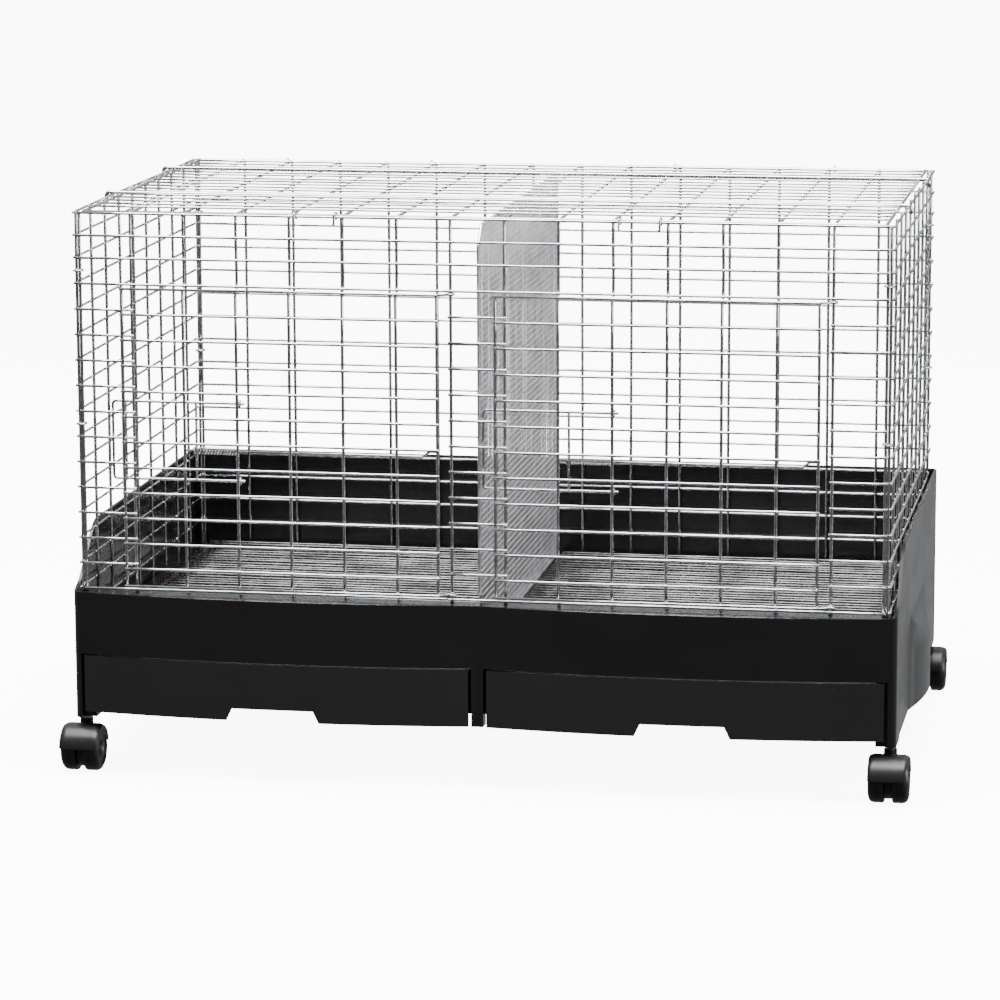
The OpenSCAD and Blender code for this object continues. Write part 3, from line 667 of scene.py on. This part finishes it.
def moulded(name, node, body, slot, material, width, corner=None, corner_width=0.0):
    """A moulded copy of a CAD solid with rounded edges. corner picks vertical edges with a larger round."""
    mesh = frame["nodes"][node].data.copy()
    mesh.name = name
    obj = bpy.data.objects.new(name, mesh)
    bpy.context.scene.collection.objects.link(obj)
    mesh.materials.clear()
    mesh.materials.append(material)
    bm = bmesh.new()
    bm.from_mesh(mesh)
    bmesh.ops.remove_doubles(bm, verts=bm.verts, dist=0.00002)
    bmesh.ops.dissolve_limit(
        bm, angle_limit=math.radians(0.5), verts=bm.verts, edges=bm.edges, delimit={"NORMAL"}
    )
    weights = bm.edges.layers.float.new("bevel_weight_edge")
    for edge in bm.edges:
        if len(edge.link_faces) == 2 and edge.calc_face_angle(0) > math.radians(28):
            wide = corner is not None and corner(edge)
            edge[weights] = 1.0 if wide else width / max(corner_width, width)
    bm.to_mesh(mesh)
    bm.free()
    bevel = obj.modifiers.new("round", "BEVEL")
    bevel.limit_method = "WEIGHT"
    bevel.width = max(corner_width, width)
    bevel.segments = 3
    bevel.use_clamp_overlap = True
    bevel.miter_outer = "MITER_ARC"
    bake(obj)
    obj.data.shade_smooth()
    obj.data.set_sharp_from_angle(angle=math.radians(35))
    flatten = obj.modifiers.new("flatten", "WEIGHTED_NORMAL")
    flatten.keep_sharp = True
    flatten.weight = 80
    bake(obj)
    attach(obj, body, slot, node)
    return obj


def tub():
    """The moulded base, with its outer upright corners rounder than the rest."""
    low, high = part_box("tub_shell")

    def wide(edge):
        a, b = (v.co for v in edge.verts)
        upright = abs(a.z - b.z) > 0.02 and (a.xy - b.xy).length < 0.001
        return upright and abs(a.x) > high.x - 0.02 and (a.y < low.y + 0.02 or a.y > high.y - 0.002)

    moulded("moulded_base", "tub_shell", "base", "tub_plastic", TUB, 0.0007, wide, 0.0022)


def trays():
    """Both pull-out trays."""
    for name in SIDES:
        moulded(f"moulded_tray_{name}", f"tray_{name}", f"tray_{name}", "tray_plastic", TRAY, 0.0008)


# ---------------------------------------------------------------- casters

def lathe(name, profile, centre, material, steps=72):
    """A closed profile of (distance along X, radius) turned about an X axis through centre."""
    verts, faces = [], []
    count = len(profile)
    for n in range(steps):
        a = 2 * math.pi * n / steps
        for along, radius in profile:
            y = centre.y + radius * math.cos(a)
            z = centre.z + radius * math.sin(a)
            verts.append((centre.x + along, y, z))
    for n in range(steps):
        m = (n + 1) % steps
        for k in range(count):
            j = (k + 1) % count
            faces.append((n * count + k, n * count + j, m * count + j, m * count + k))
    mesh = bpy.data.meshes.new(name)
    mesh.from_pydata(verts, [], faces)
    mesh.materials.append(material)
    obj = bpy.data.objects.new(name, mesh)
    bpy.context.scene.collection.objects.link(obj)
    clean(obj)
    return obj


def wheel_profile(half, radius):
    """Half section of a wheel: the inner side lies at -half, the rounded and dished outer side at +half."""
    bore, hub, edge, groove = 0.00256, 0.0075, 0.006, 0.0004
    section = [
        (-half, bore), (-half, radius - 0.0015),
        (-half + 0.0005, radius - 0.0005), (-half + 0.0015, radius),
    ]
    middle = -half + 0.0055
    section += [
        (middle - groove, radius), (middle - groove / 2, radius - groove),
        (middle + groove / 2, radius - groove), (middle + groove, radius),
    ]
    for n in range(9):
        a = math.radians(90 - 80 * n / 8)
        section.append((half - edge + edge * math.cos(a), radius - edge + edge * math.sin(a)))
    lip = radius - edge
    section += [
        (half, lip - 0.0005), (half - 0.0012, lip - 0.0012), (half - 0.0014, lip - 0.0022),
        (half - 0.0014, hub + 0.0016), (half - 0.0010, hub + 0.0006), (half - 0.0002, hub), (half, bore),
    ]
    return section


def caster(corner):
    """Both wheels and the hood of one caster."""
    for place in ("outer", "inner"):
        node = f"{place}_wheel_{corner}"
        low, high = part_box(node)
        centre = (low + high) / 2
        radius, half = (high.z - low.z) / 2, (high.x - low.x) / 2
        away = 1 if centre.x > JOINT[f"caster_{corner}_swivel"]["pos_m"][0] else -1
        profile = [(away * a, r) for a, r in wheel_profile(half, radius)]
        wheel = lathe(f"wheel_{place}_{corner}", profile, centre, TREAD)
        attach(wheel, node, "wheel_plastic", node)
    body = f"caster_{corner}"
    moulded(f"hood_{corner}", f"caster_hood_{corner}", body, "caster_plastic", NYLON, 0.0006)


def carried_over():
    """CAD nodes that stay as they are, with a finished material."""
    names = ["caster_sockets"]
    for corner in CORNERS:
        names += [f"caster_stem_{corner}", f"caster_axle_{corner}"]
    for name in names:
        mesh = frame["nodes"][name].data
        mesh.materials.clear()
        mesh.materials.append(STEEL)
        mesh.shade_smooth()
        mesh.set_sharp_from_angle(angle=math.radians(40))


# ---------------------------------------------------------------- studio

def studio():
    """White floor, surround and soft lights."""
    size, sink = 60.0, 0.0002
    bpy.ops.mesh.primitive_plane_add(size=size, location=(0, 0, -sink))
    floor = bpy.context.object
    floor.name = "studio_floor"
    mat, _, _, shader, _ = new_material("pale_floor")
    shader.inputs["Base Color"].default_value = (0.90, 0.90, 0.90, 1)
    shader.inputs["Roughness"].default_value = 0.9
    shader.inputs["Specular IOR Level"].default_value = 0.1
    shader.inputs["Emission Color"].default_value = (1.0, 1.0, 1.0, 1)
    shader.inputs["Emission Strength"].default_value = 9.0
    floor.data.materials.append(mat)
    floor.visible_glossy = False
    floor.visible_diffuse = False
    sky()
    area("overhead_softbox", (0.0, -0.4, 2.8), (0, 0, 0.2), 2.6, 2.0, 330)
    front = area("front_softbox", (-1.9, -3.0, 1.9), (0, 0, 0.25), 1.8, 1.4, 80)
    front.visible_glossy = False
    area("right_strip", (2.8, -0.9, 1.1), (0.3, 0, 0.25), 0.7, 1.8, 60)


def sky():
    """Studio surround: bright above and behind, dark in front, so that the chrome has something to mirror."""
    world = bpy.data.worlds.new("studio")
    bpy.context.scene.world = world
    world.use_nodes = True
    nodes, links = world.node_tree.nodes, world.node_tree.links
    coords = nodes.new("ShaderNodeTexCoord")
    split = nodes.new("ShaderNodeSeparateXYZ")
    links.new(coords.outputs["Generated"], split.inputs["Vector"])
    height = spread(nodes, links, split.outputs["Z"], 0.34, 1.10, 0.05, 0.60)
    depth = spread(nodes, links, split.outputs["Y"], 0.38, 1.0, -0.5, 0.6)
    product = nodes.new("ShaderNodeMath")
    product.operation = "MULTIPLY"
    links.new(height, product.inputs[0])
    links.new(depth, product.inputs[1])
    links.new(product.outputs["Value"], nodes["Background"].inputs["Strength"])
    nodes["Background"].inputs["Color"].default_value = (0.96, 0.98, 1.0, 1)


def area(name, place, target, width, height, watts):
    """A rectangular area light aimed at a target."""
    data = bpy.data.lights.new(name, "AREA")
    data.shape = "RECTANGLE"
    data.size, data.size_y = width, height
    data.energy = watts
    lamp = bpy.data.objects.new(name, data)
    bpy.context.scene.collection.objects.link(lamp)
    lamp.location = place
    lamp.rotation_euler = (Vector(target) - Vector(place)).to_track_quat("-Z", "Y").to_euler()
    return lamp


# Camera fitted to the wire grid: metres, degrees and millimetres of lens
CAMERA_PLACE = (0.7313, -4.2085, 1.0526)
CAMERA_TURN = 10.142
CAMERA_DOWN = 10.766
CAMERA_ROLL = -0.234
CAMERA_LENS_MM = 152.697


def camera():
    """The scene camera, at the viewing angle of the photograph."""
    data = bpy.data.cameras.new("camera")
    data.sensor_width = 36
    data.lens = CAMERA_LENS_MM
    data.clip_end = 200
    cam = bpy.data.objects.new("camera", data)
    bpy.context.scene.collection.objects.link(cam)
    turn = Matrix.Rotation(math.radians(CAMERA_TURN), 4, "Z")
    tilt = Matrix.Rotation(math.radians(90 - CAMERA_DOWN), 4, "X")
    roll = Matrix.Rotation(math.radians(CAMERA_ROLL), 4, "Z")
    cam.matrix_world = Matrix.Translation(CAMERA_PLACE) @ turn @ tilt @ roll
    bpy.context.scene.camera = cam


camera()
studio()
front_panel()
back_panel()
side_panel("left", -1)
side_panel("right", 1)
corner_rings()
divider()
for side_name in SIDES:
    floor_grid(side_name)
    door(side_name)
    latch(side_name)
    spring(side_name)
    roof_clip(side_name)
roof()
tub()
trays()
for corner_name in CORNERS:
    caster(corner_name)
carried_over()

bpy.context.view_layer.update()
